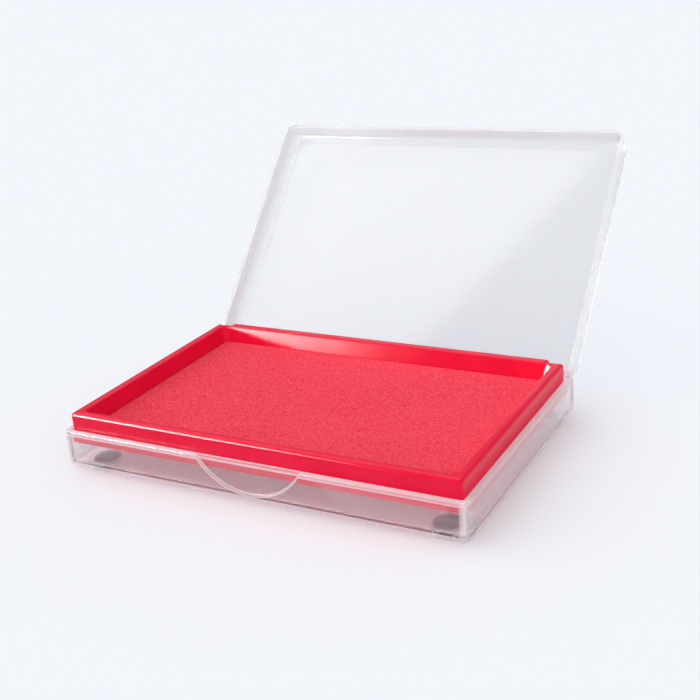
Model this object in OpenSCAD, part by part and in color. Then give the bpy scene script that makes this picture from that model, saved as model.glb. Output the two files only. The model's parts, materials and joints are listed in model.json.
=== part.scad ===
// Office ink pad in a clear hinged case.
// A red tray holds the inked pad and sits in a clear base shell on four rubber feet.
// A clear lid swings on two pins at the rear corners.
// Millimetres. X is the width, +Y points to the hinge, +Z is up.
// The origin is the centre of the base shell's flat underside.

/* [Base shell] */
// Width of the base shell
base_w = 138; // [120:1:160]
// Depth of the base shell, front to hinge side
base_d = 91; // [80:1:110]
// Height of the base shell's rim above its underside
base_h = 13; // [12:0.5:18]
// Thickness of the base shell's side walls
base_wall = 1.9; // [1.6:0.1:2.2]
// Thickness of the base shell's floor
floor_t = 2; // [1.8:0.1:2.6]
// Radius of the base shell's corners, seen from above
corner_r = 2.5; // [1:0.5:4]
// Radius of the rounding along the underside's edges
under_r = 2.2; // [1:0.2:3]

/* [Line under the rim] */
// Height of the line's lower edge below the rim
line_down = 1.4; // [1.2:0.1:2]
// Height of the line
line_h = 0.6; // [0.4:0.1:0.8]
// Depth of the line
line_in = 0.25; // [0.1:0.05:0.3]

/* [Thumb recess] */
// Width of the recess at the rim
thumb_w = 36; // [24:1:50]
// Height of the recess below the rim
thumb_h = 10.3; // [6:0.1:10.5]
// How far the recess is sunk into the front wall
thumb_sink = 1; // [0.6:0.1:1.2]

/* [Lid] */
// Height of the lid shell
lid_h = 8; // [7.5:0.5:12]
// How far the lid is set in from the base's outline on every side
lid_inset = 0.3; // [0.2:0.1:0.4]
// Thickness of the lid's side walls
lid_wall = 1.6; // [1.4:0.1:1.7]
// Thickness of the lid's top panel
panel_t = 1.7; // [1.5:0.1:1.8]
// Radius of the rounding along the lid's top edges
lid_edge_r = 2.4; // [1.6:0.2:3]
// Angle between the closed lid and the lid as drawn, resting on its stop
open_angle = 133; // [125:1:133]

/* [Hinge] */
// Distance of the hinge axis in front of the base's rear face
axis_in = 1; // [1:0.1:1.3]
// Height of the hinge axis above the base's rim
axis_up = 1.2; // [1.1:0.1:1.5]
// Radius of the lid's hinge pins
pin_r = 0.8; // [0.7:0.05:0.9]
// Radial clearance between a pin and its bore
pin_play = 0.05; // [0.03:0.01:0.08]
// Radius of the knuckles and of the lid's ears
knuckle_r = 1.9; // [1.8:0.1:2]
// Length of each knuckle along the hinge axis
knuckle_w = 4.8; // [3:0.2:5]
// Length of each pin inside its knuckle
pin_len = 2.8; // [2:0.2:3]

/* [Tray] */
// Gap between the base's outline and the tray, at the front and the sides
tray_inset = 2.3; // [2.3:0.1:2.6]
// Gap between the base's outline and the tray at the hinge side
tray_rear_inset = 2.8; // [2.8:0.1:3.4]
// Height of the tray's rim above the base's rim
tray_up = 5.6; // [4:0.1:5.6]
// Depth of the tray's skirt below the base's rim
tray_down = 4; // [3.5:0.1:4.4]
// How far the skirt ends above the underside of the pad's pocket
skirt_up = 0.6; // [0.2:0.1:1]
// Width of the tray's flat rim at the sides
tray_rim = 3; // [2.9:0.1:4]
// Width of the tray's flat rim at the front
tray_front_rim = 2.9; // [2.8:0.1:4]
// Width of the tray's flat rim at the hinge side
tray_rear_rim = 3.5; // [3.4:0.1:4.5]
// Slope of the pocket's walls, in degrees from upright
pocket_slope = 14.8; // [4:0.2:15]
// Thickness of the tray's moulded walls and floor
tray_t = 1.2; // [1:0.1:1.3]
// Width of the notch at each rear corner of the tray
notch_w = 5.5; // [5.4:0.1:6]
// Depth of the notch at each rear corner of the tray
notch_d = 2.2; // [1.8:0.1:2.6]
// Radius of the pocket's corners
pocket_r = 2.2; // [1.4:0.2:4]

/* [Pad] */
// Depth of the pad's face below the tray's rim
pad_sink = 5.3; // [3:0.1:5.5]
// Thickness of the fine face layer of the pad
face_t = 1.5; // [1:0.1:2]
// Gap between the pad and the pocket's walls
pad_gap = 0.3; // [0.2:0.1:0.6]

/* [Feet] */
// Radius of a rubber foot
foot_r = 4.2; // [3:0.1:5]
// How far a foot stands below the underside
foot_down = 0.8; // [0.5:0.1:1.5]
// Depth of the pocket that holds a foot
foot_in = 1; // [0.8:0.1:1.2]
// Distance of the feet's centres from the sides of the base shell
foot_from_side = 9.5; // [9:0.5:16]
// Distance of the feet's centres from the front and rear of the base shell
foot_from_front = 9; // [9:0.5:16]

/* [Hidden] */
$fn = 48;
eps = 0.01;
skin = 0.05;                                 // how far a joined block stays under the face beside it
gap = 0.3;                                   // clearance between pieces that pass each other
stop_gap = 0.12;                             // clearance between the lid and its stop
rim_gap = 0.15;                              // clearance under the closed lid's rim
edge_steps = 5;                              // facets across a rounded edge
corner_steps = 8;                            // facets round a corner
axis_y = base_d / 2 - axis_in;
axis_z = base_h + axis_up;
lid_w = base_w - 2 * lid_inset;
lid_d = base_d - 2 * lid_inset;
base_inner_r = 0.8;
lid_corner_r = corner_r + 2.5;
lid_inner_r = 1.2;                           // small, so that the tray's corners clear it
lid_back = lid_d / 2 - axis_y;               // lid's rear face behind the hinge axis
knuckle_x = base_w / 2 - base_wall - 0.5;    // outer end of a knuckle
ear_x = base_w / 2 - base_wall - 0.1;        // inner face of a lid ear
ear_w = lid_w / 2 - ear_x - skin;
tray_w = base_w - 2 * tray_inset;
tray_front = -base_d / 2 + tray_inset;
tray_back = base_d / 2 - tray_rear_inset;
tray_d = tray_back - tray_front;
tray_y = (tray_back + tray_front) / 2;
tray_top = base_h + tray_up;
skirt_bottom = base_h - tray_down;
tray_bottom = skirt_bottom - skirt_up;
pocket_w = tray_w - 2 * tray_rim;
pocket_d = tray_d - tray_front_rim - tray_rear_rim;
pocket_y = tray_y - (tray_rear_rim - tray_front_rim) / 2;
pad_top = tray_top - pad_sink;
core_bottom = tray_bottom + tray_t;
thumb_r = (pow(thumb_w / 2, 2) + pow(thumb_h, 2)) / (2 * thumb_h);
foot_x = base_w / 2 - foot_from_side;
foot_y = base_d / 2 - foot_from_front;
foot_play = 0.3;                             // space round a foot in its pocket
tray_corner_r = 1;
inner_edge_r = 1.4;                          // rounding inside the shells, between walls and floor
post_r = 1.6;                                // posts that the tray stands on
post_x = base_w / 3;
post_y = base_d / 4.5;

// Rectangle with round corners, centred
module rounded_rect(w, d, r) {
    square([w - 2 * r, d], center = true);
    square([w, d - 2 * r], center = true);
    for (x = [-1, 1], y = [-1, 1])
        translate([x * (w / 2 - r), y * (d / 2 - r)]) circle(r);
}

// Upright plate with an outline of round corners, from height low to height high
module plate(w, d, r, low, high) {
    translate([0, 0, low]) linear_extrude(high - low) rounded_rect(w, d, r);
}

// Points round a rectangle with round corners, at height z
function ring(w, d, r, z) = [
    for (c = [0 : 3], i = [0 : corner_steps])
        let (turn = 90 * (c + i / corner_steps), x = c == 0 || c == 3 ? 1 : -1, y = c < 2 ? 1 : -1)
            [x * (w / 2 - r) + r * cos(turn), y * (d / 2 - r) + r * sin(turn), z]
];

// Solid through rings that lie one above another, the lowest first
module stack(rings) {
    n = len(rings[0]);
    sides = [
        for (k = [0 : len(rings) - 2], i = [0 : n - 1])
            [k * n + i, (k + 1) * n + i, (k + 1) * n + (i + 1) % n, k * n + (i + 1) % n]
    ];
    underside = [for (i = [0 : n - 1]) i];
    top = [for (i = [0 : n - 1]) (len(rings) - 1) * n + n - 1 - i];
    polyhedron([for (points = rings) each points], concat(sides, [underside, top]));
}

// Solid tub shape: straight sides, and a rounding of radius edge round its underside.
// Its corners, of radius r, grow tighter along the rounding.
module tub(w, d, r, edge, h) {
    rounding = [
        for (i = [0 : edge_steps])
            let (turn = 90 * i / edge_steps, inset = edge * (1 - sin(turn)))
                ring(w - 2 * inset, d - 2 * inset, max(r - inset, 0.3), edge * (1 - cos(turn)))
    ];
    stack(concat(rounding, [ring(w, d, r, h)]));
}

// Places its children at both hinge corners
module both_sides() {
    children();
    mirror([1, 0, 0]) children();
}

// Cylinder along the hinge axis, from x = start and of the given length
module axis_cylinder(r, start, length) {
    translate([start, axis_y, axis_z]) rotate([0, 90, 0]) cylinder(r = r, h = length);
}

// Block given by its lowest and highest corners, measured in Y and Z from the hinge axis
module axis_block(low, high) {
    translate([low[0], axis_y + low[1], axis_z + low[2]]) cube(high - low);
}

// Turns its children from the closed pose to the open one
module opened() {
    translate([0, axis_y, axis_z]) rotate([-open_angle, 0, 0]) translate([0, -axis_y, -axis_z]) children();
}

// Places its children at the four feet
module at_foot(x, y) {
    translate([x * foot_x, y * foot_y, 0]) children();
}

// One hinge knuckle of the base: a round head on a stem that stands on the rear wall
module knuckle() {
    axis_cylinder(knuckle_r, knuckle_x - knuckle_w, knuckle_w);
    axis_block([knuckle_x - knuckle_w, -0.9 * knuckle_r, floor_t + 2 - axis_z], [knuckle_x, axis_in / 2, 0]);
}

// Posts on the floor that carry the tray
module tray_posts() {
    for (x = [-1, 1], y = [-1, 1])
        translate([x * post_x, y * post_y, floor_t - 1]) cylinder(r = post_r, h = tray_bottom - floor_t + 1);
}

// Round recess in the front wall, sunk in by depth, where a thumb lifts the lid
module thumb_recess(depth) {
    translate([0, -base_d / 2 + depth, base_h - thumb_h + thumb_r])
        rotate([90, 0, 0]) cylinder(r = thumb_r, h = depth + 2, $fn = 96);
}

// Fine line all round the outer wall, which follows the wall into the thumb recess
module rim_line() {
    low = base_h - line_down;
    difference() {
        plate(base_w + 4, base_d + 4, corner_r + 2, low, low + line_h);
        plate(base_w - 2 * line_in, base_d - 2 * line_in, corner_r - line_in, low - 1, base_h + 1);
    }
    intersection() {
        thumb_recess(thumb_sink + line_in);
        plate(base_w, base_d + 4, corner_r, low, low + line_h);
    }
}

module base_shell() color([0.93, 0.94, 0.96, 0.4]) difference() {
    union() {
        difference() {
            tub(base_w, base_d, corner_r, under_r, base_h);
            translate([0, 0, floor_t])
                tub(base_w - 2 * base_wall, base_d - 2 * base_wall, base_inner_r, inner_edge_r, base_h);
            // bevel along the rear edge, which the open lid rests on
            opened() axis_block([-base_w, -10, -5], [base_w, lid_back + stop_gap, 12]);
            // room for the lid's round ears
            both_sides() axis_cylinder(knuckle_r + gap, knuckle_x + eps, 10);
        }
        both_sides() knuckle();
        tray_posts();
    }
    both_sides() axis_cylinder(pin_r + pin_play, knuckle_x - knuckle_w - 1, knuckle_w + 2);
    thumb_recess(thumb_sink);
    rim_line();
    for (x = [-1, 1], y = [-1, 1])
        at_foot(x, y) translate([0, 0, -1]) cylinder(r = foot_r + foot_play, h = foot_in + 1);
}

// Lid in its closed place
module closed_lid() {
    difference() {
        translate([0, 0, base_h + lid_h]) mirror([0, 0, 1]) difference() {
            tub(lid_w, lid_d, lid_corner_r, lid_edge_r, lid_h - rim_gap);
            translate([0, 0, panel_t])
                tub(lid_w - 2 * lid_wall, lid_d - 2 * lid_wall, lid_inner_r, inner_edge_r, lid_h);
        }
        // slots that the base's knuckles stand in
        both_sides() axis_block([knuckle_x - knuckle_w - gap, -knuckle_r - 0.4, -5],
            [ear_x, 5, knuckle_r + 0.4]);
        // the rear wall stops short of the base's rim, so that it clears the rim as it turns
        axis_block([-knuckle_x + knuckle_w, -4, -5], [knuckle_x - knuckle_w, 5, -axis_up + 0.5]);
    }
    both_sides() {
        axis_cylinder(knuckle_r, ear_x, ear_w);
        axis_block([ear_x, -axis_in - 2.5, -axis_up + rim_gap + skin], [ear_x + ear_w, 0, 0.8 * knuckle_r]);
        axis_cylinder(pin_r, knuckle_x - pin_len, pin_len + 1);
    }
}

module lid_shell() color([0.94, 0.95, 0.97, 0.4]) opened() closed_lid();

// Outline of the tray, set in by inset all round, with its two rear corners notched.
// The notches are larger by notch_more in both directions.
module tray_outline(inset, notch_more) {
    difference() {
        translate([0, tray_y])
            rounded_rect(tray_w - 2 * inset, tray_d - 2 * inset, tray_corner_r - min(inset, 0.7));
        for (x = [-1, 1])
            translate([x * tray_w / 2, tray_back])
                square(2 * [notch_w + notch_more, notch_d + notch_more], center = true);
    }
}

// Space of the pad's pocket between two heights, set in by inset. It narrows downwards.
module pocket(inset, low, high) {
    translate([0, pocket_y, 0]) stack([
        for (z = [low, high])
            let (in = inset + (tray_top - z) * tan(pocket_slope))
                ring(pocket_w - 2 * in, pocket_d - 2 * in, pocket_r - inset, z)
    ]);
}

module ink_tray() color([0.93, 0.1, 0.24]) difference() {
    translate([0, 0, tray_bottom]) linear_extrude(tray_top - tray_bottom) tray_outline(0, 0);
    pocket(0, core_bottom, tray_top + 1);
    // the skirt ends above the underside of the pocket
    difference() {
        translate([0, 0, tray_bottom - 1])
            linear_extrude(skirt_up + 1) square([base_w, base_d], center = true);
        pocket(-tray_t, tray_bottom - 2, skirt_bottom + 1);
    }
    // hollow channel inside the rim, open below
    difference() {
        translate([0, 0, tray_bottom - 1])
            linear_extrude(tray_top - tray_bottom + 1 - tray_t) tray_outline(tray_t, 1.7 * tray_t);
        pocket(-tray_t, tray_bottom - 2, tray_top);
    }
}

module ink_core() color([0.75, 0.05, 0.15]) pocket(pad_gap, core_bottom, pad_top - face_t);

module pad_face() color([0.92, 0.2, 0.33]) pocket(pad_gap, pad_top - face_t, pad_top);

module foot(x, y) {
    color([0.3, 0.28, 0.29]) at_foot(x, y)
        translate([0, 0, -foot_down]) cylinder(r = foot_r, h = foot_down + foot_in);
}

base_shell();
lid_shell();
ink_tray();
ink_core();
pad_face();
foot(-1, -1);  // foot_front_left
foot(1, -1);  // foot_front_right
foot(-1, 1);  // foot_rear_left
foot(1, 1);  // foot_rear_right
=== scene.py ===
"""Looks of the ink pad: a clear hinged case, a red tray, an inked pad and four rubber feet.

Shapes are made in millimetres in the CAD frame and written to the meshes in metres.
"""

import json
import math

import bmesh
import bpy
from mathutils import Matrix, Vector


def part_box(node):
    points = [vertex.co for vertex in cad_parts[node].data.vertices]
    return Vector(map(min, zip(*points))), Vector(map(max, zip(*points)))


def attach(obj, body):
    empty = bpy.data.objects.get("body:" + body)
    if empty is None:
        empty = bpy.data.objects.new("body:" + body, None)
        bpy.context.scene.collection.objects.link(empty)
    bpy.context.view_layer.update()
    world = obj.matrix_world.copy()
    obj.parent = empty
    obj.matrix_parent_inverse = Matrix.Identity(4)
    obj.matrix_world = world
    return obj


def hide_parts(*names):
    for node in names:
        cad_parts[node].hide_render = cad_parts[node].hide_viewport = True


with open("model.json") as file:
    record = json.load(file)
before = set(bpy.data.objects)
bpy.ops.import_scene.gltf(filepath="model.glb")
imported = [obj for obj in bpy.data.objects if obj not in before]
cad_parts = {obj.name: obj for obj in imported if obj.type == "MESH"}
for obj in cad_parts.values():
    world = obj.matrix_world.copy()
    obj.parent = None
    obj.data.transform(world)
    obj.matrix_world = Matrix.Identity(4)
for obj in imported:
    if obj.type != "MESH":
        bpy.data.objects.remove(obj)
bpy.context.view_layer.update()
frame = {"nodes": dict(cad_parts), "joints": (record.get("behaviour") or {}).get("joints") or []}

# ---------------------------------------------------------------- sizes, in millimetres

MM = 0.001


def node_box(node):
    """A CAD node's lowest and highest corners in millimetres."""
    low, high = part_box(node)
    return low / MM, high / MM


BASE_LOW, BASE_HIGH = node_box("base_shell")
BASE_W, BASE_D = BASE_HIGH.x - BASE_LOW.x, -2 * BASE_LOW.y
BASE_H, BASE_WALL, FLOOR_T = 13.0, 1.9, 2.0
CORNER_R, UNDER_R, BASE_INNER_R, INNER_EDGE_R = 2.5, 2.2, 0.8, 1.4
RIM_R = 0.25  # rounding of the clear shells' rims
THUMB_W, THUMB_H, THUMB_SINK = 36.0, 10.3, 1.0  # the thumb recess in the front wall
POST_R, POST_X, POST_Y = 1.6, BASE_W / 3, BASE_D / 4.5
LINE_LOW, LINE_H, LINE_IN = BASE_H - 1.4, 0.6, 0.25  # the groove round the base under its rim

LID_H, LID_INSET, LID_WALL, PANEL_T, LID_EDGE_R = 8.0, 0.3, 1.6, 1.7, 2.45
LID_W, LID_D = BASE_W - 2 * LID_INSET, BASE_D - 2 * LID_INSET
LID_CORNER_R, LID_INNER_R = 5.0, 1.2
RIM_GAP, STOP_GAP, GAP = 0.15, 0.12, 0.3  # clearances of the shut lid, the open lid and the knuckles

HINGE = frame["joints"][0]
AXIS_Y, AXIS_Z = HINGE["pos_m"][1] / MM, HINGE["pos_m"][2] / MM
OPEN_ANGLE = HINGE["range_deg"][1]
AXIS_IN = BASE_D / 2 - AXIS_Y  # from the base's rear face in to the axis
PIN_R, PIN_PLAY, KNUCKLE_R, KNUCKLE_W, PIN_LEN = 0.8, 0.05, 1.9, 4.8, 2.8
KNUCKLE_X, EAR_X = BASE_W / 2 - BASE_WALL - 0.5, BASE_W / 2 - BASE_WALL - 0.1
EAR_W = LID_W / 2 - EAR_X - 0.05

TRAY_LOW, TRAY_HIGH = node_box("ink_tray")
TRAY_RIM, TRAY_FRONT_RIM, TRAY_REAR_RIM, TRAY_T = 3.0, 2.9, 3.5, 1.2
POCKET_SLOPE = math.radians(14.8)
NOTCH_W, NOTCH_D, TRAY_CORNER_R, POCKET_R = 5.5, 2.2, 1.0, 2.2
SKIRT_UP = 0.6
TRAY_EDGE, SHOULDER_R = 1.3, 1.0  # rounding of the tray's edges, and of the pocket's upper edge

CORE_LOW, CORE_HIGH = node_box("ink_core")
PAD_LOW, PAD_HIGH = node_box("pad_face")
PAD_PLAY = 0.3  # gap between the pad and the pocket's wall
FOOT_R, FOOT_PLAY, FOOT_IN = 4.2, 0.3, 1.0
FEET = [n for n in frame["nodes"] if n.startswith("foot_")]

# ---------------------------------------------------------------- mesh helpers


def new_object(name, bm):
    """A scene object from a mesh in millimetres. The mesh is freed."""
    bmesh.ops.recalc_face_normals(bm, faces=bm.faces)
    mesh = bpy.data.meshes.new(name)
    bmesh.ops.scale(bm, vec=(MM, MM, MM), verts=bm.verts)
    bm.to_mesh(mesh)
    bm.free()
    obj = bpy.data.objects.new(name, mesh)
    bpy.context.scene.collection.objects.link(obj)
    return obj


def ring(w, d, r, z, centre=(0, 0), steps=14):
    """Points round a rectangle with round corners, anticlockwise from its right side."""
    points = []
    for c in range(4):
        x, y = (1, -1, -1, 1)[c], (1, 1, -1, -1)[c]
        for i in range(steps + 1):
            turn = math.pi / 2 * (c + i / steps)
            points.append(
                Vector(
                    (
                        centre[0] + x * (w / 2 - r) + r * math.cos(turn),
                        centre[1] + y * (d / 2 - r) + r * math.sin(turn),
                        z,
                    )
                )
            )
    return points


def skin(name, rings):
    """A closed solid through rings of equal length, capped at both ends."""
    bm = bmesh.new()
    loops = [[bm.verts.new(p) for p in points] for points in rings]
    count = len(loops[0])
    for a, b in zip(loops, loops[1:]):
        for i in range(count):
            j = (i + 1) % count
            bm.faces.new((a[i], a[j], b[j], b[i]))
    bm.faces.new(reversed(loops[0]))
    bm.faces.new(loops[-1])
    return new_object(name, bm)


def quarter(steps):
    """(sine, 1 - cosine) pairs over a quarter turn."""
    turns = [math.pi / 2 * i / steps for i in range(steps + 1)]
    return [(math.sin(t), 1 - math.cos(t)) for t in turns]


def shell_rings(w, d, r_out, r_in, wall, panel, edge_out, edge_in, height, steps=10):
    """Rings of an open box on z = 0: up the outside, over a rounded rim and down the inside."""
    rings = []
    for s, c in quarter(steps):
        inset = edge_out * (1 - s)
        rings.append(ring(w - 2 * inset, d - 2 * inset, max(r_out - inset, 0.4), edge_out * c))
    for s, c in quarter(4):
        inset = RIM_R * c
        rings.append(ring(w - 2 * inset, d - 2 * inset, r_out - inset, height - RIM_R * (1 - s)))
    for s, c in reversed(quarter(4)):
        inset = wall - RIM_R * c
        r = r_in + RIM_R * c
        rings.append(ring(w - 2 * inset, d - 2 * inset, r, height - RIM_R * (1 - s)))
    for s, c in reversed(quarter(steps)):
        inset = wall + edge_in * (1 - s)
        r = max(r_in - edge_in * (1 - s), 0.4)
        rings.append(ring(w - 2 * inset, d - 2 * inset, r, panel + edge_in * c))
    return rings


def block(low, high):
    """A box between two corners, for joining and cutting."""
    bm = bmesh.new()
    bmesh.ops.create_cube(bm, size=1)
    low, high = Vector(low), Vector(high)
    for v in bm.verts:
        v.co = Vector(low[i] + (v.co[i] + 0.5) * (high[i] - low[i]) for i in range(3))
    return new_object("block", bm)


def rod(radius, start, end, segments=64):
    """A cylinder between two points, for joining and cutting."""
    start, end = Vector(start), Vector(end)
    bm = bmesh.new()
    bmesh.ops.create_cone(
        bm, cap_ends=True, segments=segments, radius1=radius, radius2=radius, depth=(end - start).length
    )
    turn = (end - start).to_track_quat("Z", "Y").to_matrix().to_4x4()
    bmesh.ops.transform(bm, matrix=Matrix.Translation((start + end) / 2) @ turn, verts=bm.verts)
    return new_object("rod", bm)


def prism(outline, low, high):
    """An upright solid over an outline of (x, y) points."""
    return skin("prism", [[Vector((x, y, z)) for x, y in outline] for z in (low, high)])


def bake(obj):
    """Applies the object's modifiers to its mesh."""
    graph = bpy.context.evaluated_depsgraph_get()
    made = bpy.data.meshes.new_from_object(obj.evaluated_get(graph))
    old = obj.data
    obj.modifiers.clear()
    obj.data = made
    bpy.data.meshes.remove(old)


def join(target, operation, tools):
    """Joins the tools to the target, or cuts them out of it, and removes them."""
    for tool in tools:
        step = target.modifiers.new("step", "BOOLEAN")
        step.operation = operation
        step.solver = "EXACT"
        step.object = tool
    bake(target)
    for tool in tools:
        mesh = tool.data
        bpy.data.objects.remove(tool)
        bpy.data.meshes.remove(mesh)


def add(target, *tools):
    join(target, "UNION", tools)


def cut(target, *tools):
    join(target, "DIFFERENCE", tools)


def turn_about_axis(obj, degrees):
    """Turns a mesh about the hinge axis."""
    pivot = Vector((0, AXIS_Y, AXIS_Z)) * MM
    turn = Matrix.Rotation(math.radians(degrees), 4, "X")
    obj.data.transform(Matrix.Translation(pivot) @ turn @ Matrix.Translation(-pivot))


def smooth(obj, sharp=35):
    """Smooth shading in which the large flat faces stay flat."""
    obj.data.polygons.foreach_set("use_smooth", [True] * len(obj.data.polygons))
    obj.data.set_sharp_from_angle(angle=math.radians(sharp))
    weigh = obj.modifiers.new("flats", "WEIGHTED_NORMAL")
    weigh.keep_sharp = True
    weigh.weight = 50
    bake(obj)


# ---------------------------------------------------------------- material helpers


class Nodes:
    """Short calls for building one material's node tree."""

    def __init__(self, name):
        self.material = bpy.data.materials.new(name)
        self.material.use_nodes = True
        self.tree = self.material.node_tree
        self.tree.nodes.clear()
        self.out = self.tree.nodes.new("ShaderNodeOutputMaterial")

    def node(self, kind, inputs=None, **settings):
        made = self.tree.nodes.new("ShaderNode" + kind)
        for key, value in settings.items():
            setattr(made, key, value)
        for key, value in (inputs or {}).items():
            if isinstance(value, bpy.types.NodeSocket):
                self.tree.links.new(value, made.inputs[key])
            else:
                made.inputs[key].default_value = value
        return made

    def place(self):
        """Where a point is on the piece, in metres."""
        return self.node("TexCoord").outputs["Object"]

    def noise(self, scale, detail=3.0, roughness=0.5):
        """Noise from 0 to 1, with scale counted per metre."""
        inputs = {"Vector": self.place(), "Scale": scale, "Detail": detail, "Roughness": roughness}
        return self.node("TexNoise", inputs).outputs["Fac"]

    def span(self, value, low, high, from_low=0.3, from_high=0.7):
        """value, mapped from one span of numbers to another."""
        return self.node(
            "MapRange",
            {"Value": value, "From Min": from_low, "From Max": from_high, "To Min": low, "To Max": high},
        ).outputs["Result"]

    def blend(self, share, a, b):
        mix = self.node("Mix", data_type="RGBA")
        for socket, value in ((mix.inputs[0], share), (mix.inputs[6], a), (mix.inputs[7], b)):
            if isinstance(value, bpy.types.NodeSocket):
                self.tree.links.new(value, socket)
            else:
                socket.default_value = value
        return mix.outputs[2]

    def bump(self, height, distance, strength=1.0, under=None):
        inputs = {"Height": height, "Distance": distance, "Strength": strength}
        if under is not None:
            inputs["Normal"] = under
        return self.node("Bump", inputs).outputs["Normal"]

    def finish(self, shader):
        self.tree.links.new(shader, self.out.inputs["Surface"])
        return self.material


PAINTED_SCATTER = 0.55  # share of the light that a fully painted part scatters, painted whitening for light the clear plastic reflects and refracts
PAINTED_SCATTER_TINT = (0.96, 0.95, 0.965, 1)
CORNER_PAINTED_SCATTER, SIDE_PAINTED_SCATTER = 0.7, 0.45  # how strongly the base's corners and short sides are whitened as painted reflection
LID_PAINTED_SCATTER = 0.75  # how strongly the lid's walls scatter, a painted reflection for the tone that reflected and refracted light gives them
ARC_HALF = 0.35  # half the width of the painted highlight along the recess's edge
FOOT_EDGE = (0.1, 2.4)  # heights between which the base's lower edge is whitened, painted light over the shade seen through it
PAST = 1.0  # how far a painted zone reaches outside the base


def clear_plastic(name, tint, through, body, clarity, ripple, painted_scatter_mask=None):
    """Slightly hazy clear styrene, which scatters more light where the mask argument says so, as painted
    reflection.

    body is the share of the view that the plastic itself gives, and clarity the share of that
    which passes through it. Light from lamps and from lit surfaces passes straight through.
    """
    n = Nodes(name)
    haze = n.noise(120, detail=1.0)
    shell = n.node(
        "BsdfPrincipled",
        {
            "Base Color": tint,
            "Transmission Weight": clarity,
            "IOR": 1.5,
            "Alpha": body,
            "Roughness": n.span(haze, 0.012, 0.03),
            "Normal": n.bump(n.noise(22, detail=1.0), 0.0004, ripple),
        },
    )
    # painted reflection: a whiter, less clear surface where the mask is set
    if painted_scatter_mask:
        share = painted_scatter_mask(n)
        clear = n.node("Math", {0: share, 1: -PAINTED_SCATTER, 2: clarity}, operation="MULTIPLY_ADD")
        n.tree.links.new(clear.outputs[0], shell.inputs["Transmission Weight"])
        n.tree.links.new(n.blend(share, tint, PAINTED_SCATTER_TINT), shell.inputs["Base Color"])
    open_to_light = n.node("BsdfTransparent", {"Color": through})
    path = n.node("LightPath")
    light_rays = {0: path.outputs["Is Shadow Ray"], 1: path.outputs["Is Diffuse Ray"]}
    passes = n.node("Math", light_rays, operation="MAXIMUM").outputs[0]
    mixed = n.node("MixShader", {"Fac": passes, 1: shell.outputs[0], 2: open_to_light.outputs[0]})
    return n.finish(mixed.outputs[0])


def base_painted_scatter(n):
    """Where the base is whitened with painted light: highlights and reflections on the rim, rim line,
    corners, short sides and recess edge, and light over the shade at the lower edge.
    """
    point = n.node("SeparateXYZ", {0: n.place()}).outputs
    x, y, z = (n.node("Math", {0: value}, operation="ABSOLUTE").outputs[0] for value in point)

    def math_of(operation, a, b):
        return n.node("Math", {0: a, 1: b}, operation=operation).outputs[0]

    def within(value, low, high):
        span = {0: value, 1: (low + high) / 2 * MM, 2: (high - low) / 2 * MM}
        return n.node("Math", span, operation="COMPARE").outputs[0]

    def near_side(value, size, reach):
        return within(value, size / 2 - reach, size / 2 + PAST)

    rim = within(z, BASE_H - 0.1, AXIS_Z + 2 * KNUCKLE_R)
    line = within(z, LINE_LOW, LINE_LOW + LINE_H)
    wall = math_of("MAXIMUM", near_side(x, BASE_W, BASE_WALL), near_side(y, BASE_D, BASE_WALL))
    foot_edge = math_of("MULTIPLY", within(z, *FOOT_EDGE), wall)
    corner = math_of("MULTIPLY", near_side(x, BASE_W, CORNER_R), near_side(y, BASE_D, CORNER_R))
    corner = math_of("MULTIPLY", corner, CORNER_PAINTED_SCATTER)
    short_side = math_of("MULTIPLY", near_side(x, BASE_W, 0.1), SIDE_PAINTED_SCATTER)
    radius, middle = thumb_circle()
    flat = n.node("CombineXYZ", {0: x, 2: z}).outputs[0]
    centre = {0: flat, 1: (0, 0, middle * MM)}
    reach = n.node("VectorMath", centre, operation="DISTANCE").outputs["Value"]
    front = within(point["Y"], -BASE_D / 2 - PAST, -BASE_D / 2 + THUMB_SINK + 0.1)
    arc_edge = math_of("MULTIPLY", within(reach, radius - ARC_HALF, radius + ARC_HALF), front)
    share = rim
    for other in (line, foot_edge, corner, short_side, arc_edge):
        share = math_of("MAXIMUM", share, other)
    return share


def lid_painted_scatter(n):
    """Where the lid gets a pale scattering surface as painted reflection: its walls, below the panel
    when it is shut.
    """
    pivot = (0, AXIS_Y * MM, AXIS_Z * MM)
    turn = {"Vector": n.place(), "Center": pivot, "Angle": math.radians(OPEN_ANGLE)}
    shut = n.node("VectorRotate", turn, rotation_type="X_AXIS").outputs[0]
    height = n.node("SeparateXYZ", {0: shut}).outputs["Z"]
    panel = BASE_H + LID_H - PANEL_T
    # painted reflection: the walls below the panel get a paler, scattering surface
    return n.span(height, LID_PAINTED_SCATTER, 0, (panel - 1) * MM, panel * MM)


def red_plastic():
    """Polished red moulded plastic with a faint ripple and a few duller patches."""
    n = Nodes("red_plastic")
    patch = n.noise(60, detail=2.0)
    colour = n.blend(n.span(patch, 0, 1), (0.79, 0.004, 0.04, 1), (0.85, 0.008, 0.05, 1))
    ripple = n.bump(n.noise(45, detail=1.0), 0.0004, 0.25)
    body = n.node(
        "BsdfPrincipled",
        {
            "Base Color": colour,
            "Roughness": n.span(n.noise(300), 0.09, 0.17),
            "IOR": 1.5,
            "Specular IOR Level": 0.14,
            "Normal": ripple,
        },
    )
    return n.finish(body.outputs[0])


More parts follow.
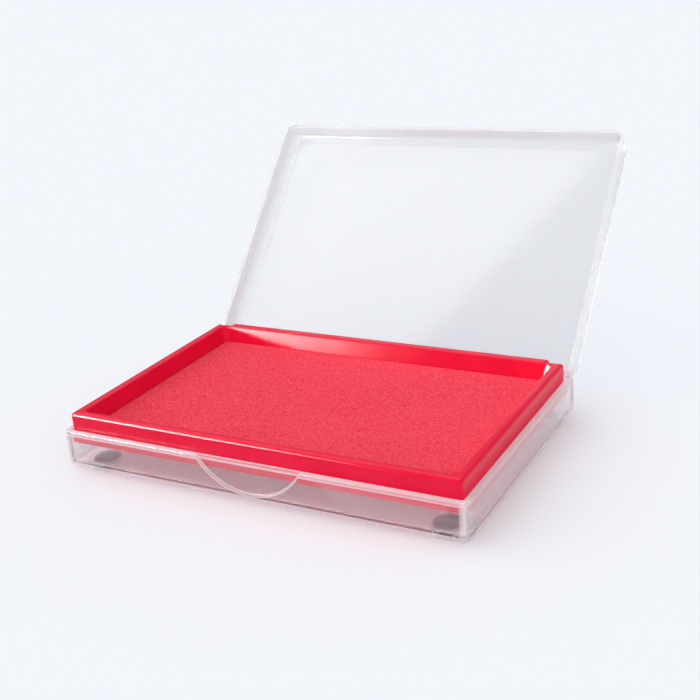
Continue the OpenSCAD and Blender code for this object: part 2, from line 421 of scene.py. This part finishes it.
def pad_cloth():
    """Fine dense foam cloth soaked with red ink."""
    n = Nodes("pad_cloth")
    grain = n.noise(1700, detail=3.0, roughness=0.65)
    clump = n.noise(480, detail=2.0, roughness=0.5)
    broad = n.noise(28, detail=2.0)
    tone = n.blend(n.span(grain, 0, 1, 0.40, 0.60), (0.70, 0.008, 0.032, 1), (0.80, 0.088, 0.126, 1))
    tone = n.blend(n.span(clump, 0, 0.22), tone, (0.70, 0.03, 0.065, 1))
    tone = n.blend(n.span(broad, 0, 0.15), tone, (0.95, 0.09, 0.13, 1))
    pores = n.bump(grain, 0.0003, 0.3)
    body = n.node(
        "BsdfPrincipled",
        {
            "Base Color": tone,
            "Roughness": 0.85,
            "Specular IOR Level": 0.12,
            "Sheen Weight": 0.06,
            "Sheen Roughness": 0.4,
            "Sheen Tint": (1.0, 0.75, 0.8, 1),
            "Normal": n.bump(clump, 0.0004, 0.2, pores),
        },
    )
    return n.finish(body.outputs[0])


def felt():
    """Thick dark red felt under the pad's face."""
    n = Nodes("felt")
    fibre = n.noise(700, detail=5.0, roughness=0.7)
    tone = n.blend(n.span(fibre, 0, 1), (0.35, 0.008, 0.02, 1), (0.55, 0.02, 0.04, 1))
    body = n.node(
        "BsdfPrincipled",
        {"Base Color": tone, "Roughness": 0.95, "Normal": n.bump(fibre, 0.0008, 0.6)},
    )
    return n.finish(body.outputs[0])


def rubber():
    """Dark grey self-adhesive rubber."""
    n = Nodes("foot_rubber")
    speck = n.noise(1100, detail=4.0)
    tone = n.blend(n.span(speck, 0, 1), (0.085, 0.078, 0.080, 1), (0.14, 0.13, 0.13, 1))
    body = n.node(
        "BsdfPrincipled",
        {"Base Color": tone, "Roughness": 0.7, "Normal": n.bump(speck, 0.0003, 0.4)},
    )
    return n.finish(body.outputs[0])


# ---------------------------------------------------------------- clear base


def thumb_circle():
    """Radius of the thumb recess, and the height of its centre."""
    radius = ((THUMB_W / 2) ** 2 + THUMB_H**2) / (2 * THUMB_H)
    return radius, BASE_H - THUMB_H + radius


def thumb_cutter(depth):
    """Round cutter for the thumb recess in the front wall."""
    radius, z = thumb_circle()
    return rod(radius, (0, -BASE_D / 2 - 3, z), (0, -BASE_D / 2 + depth, z), segments=256)


def slab(w, d, r, low, high):
    """A flat plate with round corners, between two heights."""
    return skin("slab", [ring(w, d, r, low), ring(w, d, r, high)])


def on_axis(radius, start, end, segments=64):
    """A cylinder along the hinge axis between two places across the case."""
    return rod(radius, (start, AXIS_Y, AXIS_Z), (end, AXIS_Y, AXIS_Z), segments)


def make_base():
    """The tub, with its hinge knuckles, posts, foot pockets, thumb recess and rim line."""
    radii, edges = (CORNER_R, BASE_INNER_R), (UNDER_R, INNER_EDGE_R)
    shell = shell_rings(BASE_W, BASE_D, *radii, BASE_WALL, FLOOR_T, *edges, BASE_H)
    base = skin("clear_base", shell)
    # where the open lid leans against the base's rear wall
    rest = block(
        (-BASE_W, AXIS_Y - 10, AXIS_Z - 5), (BASE_W, LID_D / 2 + STOP_GAP, AXIS_Z + 12)
    )
    turn_about_axis(rest, -OPEN_ANGLE)
    sides = (-1, 1)
    ear_room = [on_axis(KNUCKLE_R + GAP, s * (KNUCKLE_X + 0.01), s * (KNUCKLE_X + 10)) for s in sides]
    cut(base, rest, *ear_room)
    knuckles = []
    for s in sides:
        inner, outer = sorted((s * (KNUCKLE_X - KNUCKLE_W), s * KNUCKLE_X))
        knuckles.append(on_axis(KNUCKLE_R, inner, outer))
        low = (inner, AXIS_Y - 0.9 * KNUCKLE_R, FLOOR_T + 2)
        knuckles.append(block(low, (outer, AXIS_Y + AXIS_IN / 2, AXIS_Z)))
    posts = [
        rod(POST_R, (sx * POST_X, sy * POST_Y, FLOOR_T - 1), (sx * POST_X, sy * POST_Y, TRAY_LOW.z))
        for sx in sides
        for sy in sides
    ]
    add(base, *knuckles, *posts)
    bore_r = PIN_R + PIN_PLAY
    bores = [
        on_axis(bore_r, s * (KNUCKLE_X - KNUCKLE_W - 1), s * (KNUCKLE_X + 1), segments=32) for s in sides
    ]
    pockets = []
    for foot in FEET:
        low, high = node_box(foot)
        x, y = (low.x + high.x) / 2, (low.y + high.y) / 2
        pockets.append(rod(FOOT_R + FOOT_PLAY, (x, y, -1), (x, y, FOOT_IN)))
    cut(base, *bores, *pockets, thumb_cutter(THUMB_SINK))
    line = slab(BASE_W + 4, BASE_D + 4, CORNER_R + 2, LINE_LOW, LINE_LOW + LINE_H)
    kept_w, kept_d = BASE_W - 2 * LINE_IN, BASE_D - 2 * LINE_IN
    cut(line, slab(kept_w, kept_d, CORNER_R - LINE_IN, LINE_LOW - 1, LINE_LOW + 2))
    recess_line = thumb_cutter(THUMB_SINK + LINE_IN)
    band = block((-THUMB_W, -BASE_D, LINE_LOW), (THUMB_W, BASE_D, LINE_LOW + LINE_H))
    join(recess_line, "INTERSECT", [band])
    cut(base, line, recess_line)
    return base


# ---------------------------------------------------------------- clear lid


def make_lid():
    """Made shut, then turned open as it is at rest."""
    radii, edges = (LID_CORNER_R, LID_INNER_R), (LID_EDGE_R, INNER_EDGE_R)
    shell = shell_rings(LID_W, LID_D, *radii, LID_WALL, PANEL_T, *edges, LID_H - RIM_GAP)
    top = BASE_H + LID_H
    lid = skin("clear_lid", [[Vector((-p.x, p.y, top - p.z)) for p in points] for points in shell])
    slots, ears = [], []
    for s in (-1, 1):
        x0, x1 = sorted((s * (KNUCKLE_X - KNUCKLE_W - GAP), s * EAR_X))
        slot_r = KNUCKLE_R + 0.4
        slots.append(block((x0, AXIS_Y - slot_r, AXIS_Z - 5), (x1, AXIS_Y + 5, AXIS_Z + slot_r)))
        x0, x1 = sorted((s * EAR_X, s * (EAR_X + EAR_W)))
        ears.append(on_axis(KNUCKLE_R, x0, x1))
        low = (x0, AXIS_Y - AXIS_IN - 2.5, BASE_H + RIM_GAP + 0.05)
        ears.append(block(low, (x1, AXIS_Y, AXIS_Z + 0.8 * KNUCKLE_R)))
        x0, x1 = sorted((s * (KNUCKLE_X - PIN_LEN), s * (KNUCKLE_X + 1)))
        ears.append(on_axis(PIN_R, x0, x1, segments=32))
    inner = KNUCKLE_X - KNUCKLE_W
    strip = block((-inner, AXIS_Y - 4, AXIS_Z - 5), (inner, AXIS_Y + 5, BASE_H + 0.5))
    cut(lid, *slots, strip)
    add(lid, *ears)
    turn_about_axis(lid, -OPEN_ANGLE)
    return lid


# ---------------------------------------------------------------- red tray


def arc(cx, cy, r, start, steps=10):
    """A quarter circle of (x, y) points, from the start angle in degrees."""
    turns = [math.radians(start + 90 * i / steps) for i in range(steps + 1)]
    return [(cx + r * math.cos(t), cy + r * math.sin(t)) for t in turns]


def tray_outline(inset, notch_more):
    """Outline of the tray set in by inset, with its rear corners notched, anticlockwise."""
    x0, x1 = TRAY_LOW.x + inset, TRAY_HIGH.x - inset
    y0, y1 = TRAY_LOW.y + inset, TRAY_HIGH.y - inset
    r = max(TRAY_CORNER_R - inset, 0.3)
    notch_x, notch_y = NOTCH_W + notch_more, NOTCH_D + notch_more
    points = arc(x1 - r, y0 + r, r, -90)
    points += [(x1, TRAY_HIGH.y - notch_y), (TRAY_HIGH.x - notch_x, TRAY_HIGH.y - notch_y)]
    points += [(TRAY_HIGH.x - notch_x, y1), (TRAY_LOW.x + notch_x, y1)]
    points += [(TRAY_LOW.x + notch_x, TRAY_HIGH.y - notch_y), (x0, TRAY_HIGH.y - notch_y)]
    points += arc(x0 + r, y0 + r, r, 180)
    return points


POCKET_LOW_Y, POCKET_HIGH_Y = TRAY_LOW.y + TRAY_FRONT_RIM, TRAY_HIGH.y - TRAY_REAR_RIM
POCKET_W, POCKET_D = TRAY_HIGH.x - TRAY_LOW.x - 2 * TRAY_RIM, POCKET_HIGH_Y - POCKET_LOW_Y
POCKET_Y = (POCKET_LOW_Y + POCKET_HIGH_Y) / 2


def pocket_outline(inset, r, z):
    """Points round the pocket, set in by inset from its edge at the rim, with corners of radius r."""
    return ring(POCKET_W - 2 * inset, POCKET_D - 2 * inset, r, z, (0, POCKET_Y))


def pocket_ring(inset, z):
    """Points round the pocket at height z, set in by inset from its sloping wall."""
    slope = (TRAY_HIGH.z - z) * math.tan(POCKET_SLOPE)
    return pocket_outline(inset + slope, max(POCKET_R - inset, 0.4), z)


def pocket_cutter(steps=8):
    """The pocket's space, with walls that slope in downwards and a rounded shoulder at the rim."""
    top = TRAY_HIGH.z
    turn_over = math.pi / 2 - POCKET_SLOPE
    reach = SHOULDER_R * math.tan(turn_over / 2)
    rings = [pocket_ring(0, CORE_LOW.z)]
    for i in range(steps + 1):
        turn = POCKET_SLOPE + turn_over * i / steps
        out = reach - SHOULDER_R * math.cos(turn)
        z = top - SHOULDER_R * (1 - math.sin(turn))
        rings.append(pocket_outline(-out, POCKET_R + max(out, 0), z))
    rings.append(pocket_outline(-reach, POCKET_R + reach, top + 1))
    return skin("pocket", rings)


def make_tray():
    """A rounded frame with a sloping pocket, hollow underneath between its rim and its pocket."""
    low, top = TRAY_LOW.z, TRAY_HIGH.z
    levels = [(0.25, low), (0, low + 0.25), (0, top - TRAY_EDGE)]
    levels += [(TRAY_EDGE * c, top - TRAY_EDGE * (1 - s)) for s, c in quarter(8)][1:]
    body = [[Vector((x, y, z)) for x, y in tray_outline(inset, inset)] for inset, z in levels]
    tray = skin("red_tray", body)
    under = prism(tray_outline(TRAY_T, 1.7 * TRAY_T), low - 1, top - TRAY_T)
    cut(under, skin("well", [pocket_ring(-TRAY_T, low - 2), pocket_ring(-TRAY_T, top)]))
    lift = block((-BASE_W, -BASE_D, low - 1), (BASE_W, BASE_D, low + SKIRT_UP))
    cut(lift, skin("well", [pocket_ring(-TRAY_T, low - 2), pocket_ring(-TRAY_T, top)]))
    cut(tray, under, lift, pocket_cutter())
    return tray


# ---------------------------------------------------------------- pad, core and feet


def make_pad():
    """A thin dense sheet whose face rolls down at its edges, with a slight crown."""
    roll, crown = 0.55, 0.12
    crown_w = 2.6  # how far in from the rolled edge the crown is reached
    rings = [pocket_ring(PAD_PLAY, PAD_LOW.z)]
    for s, c in quarter(5):
        rings.append(pocket_ring(PAD_PLAY + roll * c, PAD_HIGH.z - crown - roll * (1 - s)))
    for share in (0.1, 0.25, 0.45, 0.7, 1.0):
        reach = PAD_PLAY + roll + crown_w * share
        rings.append(pocket_ring(reach, PAD_HIGH.z - crown * (1 - share) ** 2))
    return skin("pad_cloth", rings)


def make_core():
    """The felt that fills the bottom of the pocket."""
    edge = 0.3
    rings = [pocket_ring(PAD_PLAY + edge * (1 - s), CORE_LOW.z + edge * c) for s, c in quarter(3)]
    rings.append(pocket_ring(PAD_PLAY, CORE_HIGH.z))
    return skin("felt_core", rings)


def make_foot(node):
    """A self-adhesive disc with a rounded lower edge and a shallow dished underside."""
    low, high = node_box(node)
    cx, cy = (low.x + high.x) / 2, (low.y + high.y) / 2
    edge, sides = 0.35, 64
    profile = [(FOOT_R - 1.3, low.z + 0.12), (FOOT_R - 0.9, low.z + 0.02)]
    profile += [(FOOT_R - edge * (1 - s), low.z + edge * c) for s, c in quarter(5)]
    profile += [(FOOT_R, high.z - 0.12), (FOOT_R - 0.12, high.z)]
    turns = [2 * math.pi * i / sides for i in range(sides)]
    circle = [Vector((math.cos(t), math.sin(t), 0)) for t in turns]
    rings = [[Vector((cx, cy, z)) + r * p for p in circle] for r, z in profile]
    return skin("rubber_" + node, rings)


# ---------------------------------------------------------------- building the pieces

# The base's pinkish colour for light passing through it is painted red bounce light from the tray on the
# floor under it.
clear_base_look = clear_plastic(
    "clear_base_plastic", (0.95, 0.94, 0.95, 1), (0.95, 0.84, 0.88, 1), 0.82, 0.96, 0.1, base_painted_scatter
)
# The lid's grey tint, darker than the base's, is painted shade on the same clear plastic.
clear_lid_look = clear_plastic(
    "clear_lid_plastic", (0.80, 0.80, 0.81, 1), (0.93, 0.935, 0.95, 1), 0.76, 0.93, 0.03, lid_painted_scatter
)
rubber_look = rubber()


def place(piece, look, body, slot, *nodes):
    """Gives a finished piece its look and its body, and hides the CAD nodes that it stands for; the slot
    is not used.
    """
    piece.data.materials.clear()
    piece.data.materials.append(look)
    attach(piece, body)
    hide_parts(*nodes)


base = make_base()
smooth(base)
place(base, clear_base_look, "base", "base_clear", "base_shell")

lid = make_lid()
smooth(lid)
place(lid, clear_lid_look, "lid", "lid_clear", "lid_shell")

tray = make_tray()
smooth(tray, sharp=50)
place(tray, red_plastic(), "base", "tray_plastic", "ink_tray")

pad = make_pad()
smooth(pad)
place(pad, pad_cloth(), "base", "pad_foam", "pad_face")

core = make_core()
smooth(core)
place(core, felt(), "base", "core_felt", "ink_core")

for foot in FEET:
    piece = make_foot(foot)
    smooth(piece)
    place(piece, rubber_look, "base", "foot_rubber", foot)

# ---------------------------------------------------------------- floor, light and camera


FLOOR_GLOW = 0.25  # share of the floor's light that comes from under it
BOUNCES = 32  # enough for light to leave the clear shells


def make_floor():
    """A pale floor lit partly from below, so that shadows on it stay faint."""
    bm = bmesh.new()
    bmesh.ops.create_grid(bm, x_segments=1, y_segments=1, size=20000)
    for v in bm.verts:
        v.co.z = node_box(FEET[0])[0].z
    floor = new_object("floor", bm)
    n = Nodes("pale_floor")
    matt = n.node("BsdfDiffuse", {"Color": (0.90, 0.925, 0.965, 1)})
    lit = n.node("Emission", {"Color": (0.905, 0.93, 0.973, 1), "Strength": 1.0})
    both = n.node("MixShader", {"Fac": FLOOR_GLOW, 1: matt.outputs[0], 2: lit.outputs[0]})
    floor.data.materials.append(n.finish(both.outputs[0]))


def make_world():
    """A studio with a bright panel high up on the left and rear, and a softbox low on the left.

    Mirror rays see both, diffuse rays see even light, and the rest see a pale backdrop.
    """
    world = bpy.data.worlds.new("studio")
    bpy.context.scene.world = world
    world.use_nodes = True
    world.cycles.sampling_method = "NONE"
    tree = world.node_tree
    tree.nodes.clear()

    def node(kind, inputs=None, **settings):
        made = tree.nodes.new("ShaderNode" + kind)
        for key, value in settings.items():
            setattr(made, key, value)
        for key, value in (inputs or {}).items():
            if isinstance(value, bpy.types.NodeSocket):
                tree.links.new(value, made.inputs[key])
            else:
                made.inputs[key].default_value = value
        return made

    toward = node("TexCoord").outputs["Generated"]

    def soft_side(direction, dark_at, light_at):
        """0 to 1 as a direction turns towards the given one."""
        dot = node("VectorMath", {0: toward, 1: Vector(direction).normalized()}, operation="DOT_PRODUCT")
        return node(
            "MapRange",
            {"Value": dot.outputs["Value"], "From Min": dark_at, "From Max": light_at},
            interpolation_type="SMOOTHSTEP",
        ).outputs["Result"]

    def times(a, b):
        return node("Math", {0: a, 1: b}, operation="MULTIPLY").outputs[0]

    def plus(a, b):
        return node("Math", {0: a, 1: b}, operation="ADD").outputs[0]

    left = soft_side((-0.722, 0.691, -0.03), -0.035, -0.005)
    high = soft_side((0, 0, 1), 0.56, 0.68)
    panel = times(times(left, high), 2.2)
    softbox = times(soft_side((-0.86, -0.5, 0.1), 0.82, 0.93), 80.0)
    upper = times(soft_side((0, 0, 1), 0.1, 0.9), 0.25)
    level = plus(plus(panel, softbox), plus(upper, 0.4))
    mirrored = node("Background", {"Color": (0.97, 0.98, 1.0, 1), "Strength": level})
    backdrop = node("Background", {"Color": (0.905, 0.93, 0.973, 1), "Strength": 1.0})
    soft = node("Background", {"Color": (0.97, 0.98, 1.0, 1), "Strength": 0.465})
    path = node("LightPath")
    diffuse = path.outputs["Is Diffuse Ray"]
    studio = node("MixShader", {"Fac": diffuse, 1: mirrored.outputs[0], 2: soft.outputs[0]})
    unmirrored = node("Math", {0: path.outputs["Glossy Depth"], 1: 0.5}, operation="LESS_THAN")
    through = times(path.outputs["Is Transmission Ray"], unmirrored.outputs[0])
    seen = node("Math", {0: path.outputs["Is Camera Ray"], 1: through}, operation="MAXIMUM")
    mixed = node("MixShader", {"Fac": seen.outputs[0], 1: studio.outputs[0], 2: backdrop.outputs[0]})
    out = node("OutputWorld")
    tree.links.new(mixed.outputs[0], out.inputs["Surface"])


def make_sun(name, toward, strength, angle):
    """A broad soft light from a direction, which shows in no reflection."""
    lamp = bpy.data.lights.new(name, "SUN")
    lamp.energy, lamp.angle = strength, math.radians(angle)
    sun = bpy.data.objects.new(name, lamp)
    sun.rotation_mode = "QUATERNION"
    sun.rotation_quaternion = Vector(toward).to_track_quat("Z", "Y")
    sun.visible_glossy = False
    sun.visible_transmission = False
    bpy.context.scene.collection.objects.link(sun)


def make_camera():
    """A camera in front, to the right and above, tilted a little on its side."""
    eye = Vector((175.54, -285.89, 161.29)) * MM
    yaw, pitch, roll = (math.radians(a) for a in (-29.79, -21.37, -4.85))
    focal = 1.6335  # focal length over the sensor's width
    ahead = Vector((math.sin(yaw) * math.cos(pitch), math.cos(yaw) * math.cos(pitch), math.sin(pitch)))
    right = ahead.cross(Vector((0, 0, 1))).normalized()
    up = right.cross(ahead)
    across = right * math.cos(roll) + up * math.sin(roll)
    upward = up * math.cos(roll) - right * math.sin(roll)
    data = bpy.data.cameras.new("camera")
    data.sensor_width = 36
    data.lens = 36 * focal
    data.clip_start, data.clip_end = 0.01, 60
    camera = bpy.data.objects.new("camera", data)
    turn = Matrix((across, upward, -ahead)).transposed().to_4x4()
    camera.matrix_world = Matrix.Translation(eye) @ turn
    bpy.context.scene.collection.objects.link(camera)
    bpy.context.scene.camera = camera


make_floor()
make_world()
make_sun("key", (-0.55, -0.25, 0.8), 1.53, 80)
make_sun("fill", (0.65, -0.6, 0.5), 0.95, 80)
make_camera()
scene = bpy.context.scene
scene.view_settings.view_transform = "Standard"
for kind in ("max_bounces", "glossy_bounces", "transmission_bounces", "transparent_max_bounces"):
    setattr(scene.cycles, kind, BOUNCES)
